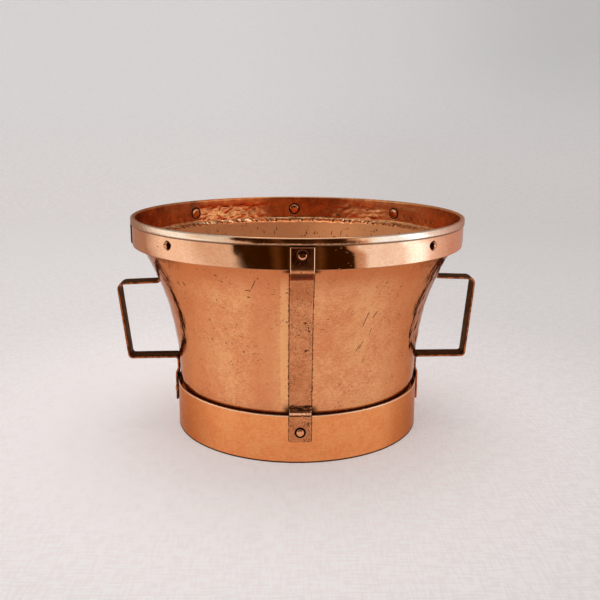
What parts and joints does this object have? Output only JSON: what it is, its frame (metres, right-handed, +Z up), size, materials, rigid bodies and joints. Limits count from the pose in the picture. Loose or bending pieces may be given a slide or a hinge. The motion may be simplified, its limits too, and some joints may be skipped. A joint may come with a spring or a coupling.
{
  "type": "strapped copper bowl",
  "caption": "Deep flared copper bowl on a foot ring, with a riveted rim hoop and flat straps, the side ones bent out into handles.",
  "frame": {"origin": "centre of the foot ring, on the surface the bowl stands on", "axes": "+Z up; +X along the line through the two handles, towards the right one when the front strap faces the viewer; +Y from the front strap to the back strap"},
  "size_m": [0.4444, 0.4112, 0.2624],
  "materials": {
    "hammered_copper": "hammered satin copper",
    "hoop_copper": "scratched near-polished copper",
    "foot_copper": "satin copper",
    "strap_copper": "pitted, darkened copper",
    "handle_copper": "worn, darkened copper",
    "rivet_copper": "peened copper"
  },
  "bodies": {
    "root": {"vessel_wall": "hammered_copper", "vessel_bottom": "hammered_copper", "rim_hoop": "hoop_copper", "foot_ring": "foot_copper", "front_strap": "strap_copper", "back_strap": "strap_copper", "left_handle_strap": "handle_copper", "right_handle_strap": "handle_copper", "rim_rivet_right": "rivet_copper", "rim_rivet_back_right": "rivet_copper", "rim_rivet_back": "rivet_copper", "rim_rivet_back_left": "rivet_copper", "rim_rivet_left": "rivet_copper", "rim_rivet_front_left": "rivet_copper", "rim_rivet_front": "rivet_copper", "rim_rivet_front_right": "rivet_copper", "foot_rivet_front": "rivet_copper", "foot_rivet_right": "rivet_copper", "foot_rivet_back": "rivet_copper", "foot_rivet_left": "rivet_copper"}
  },
  "joints": []
}
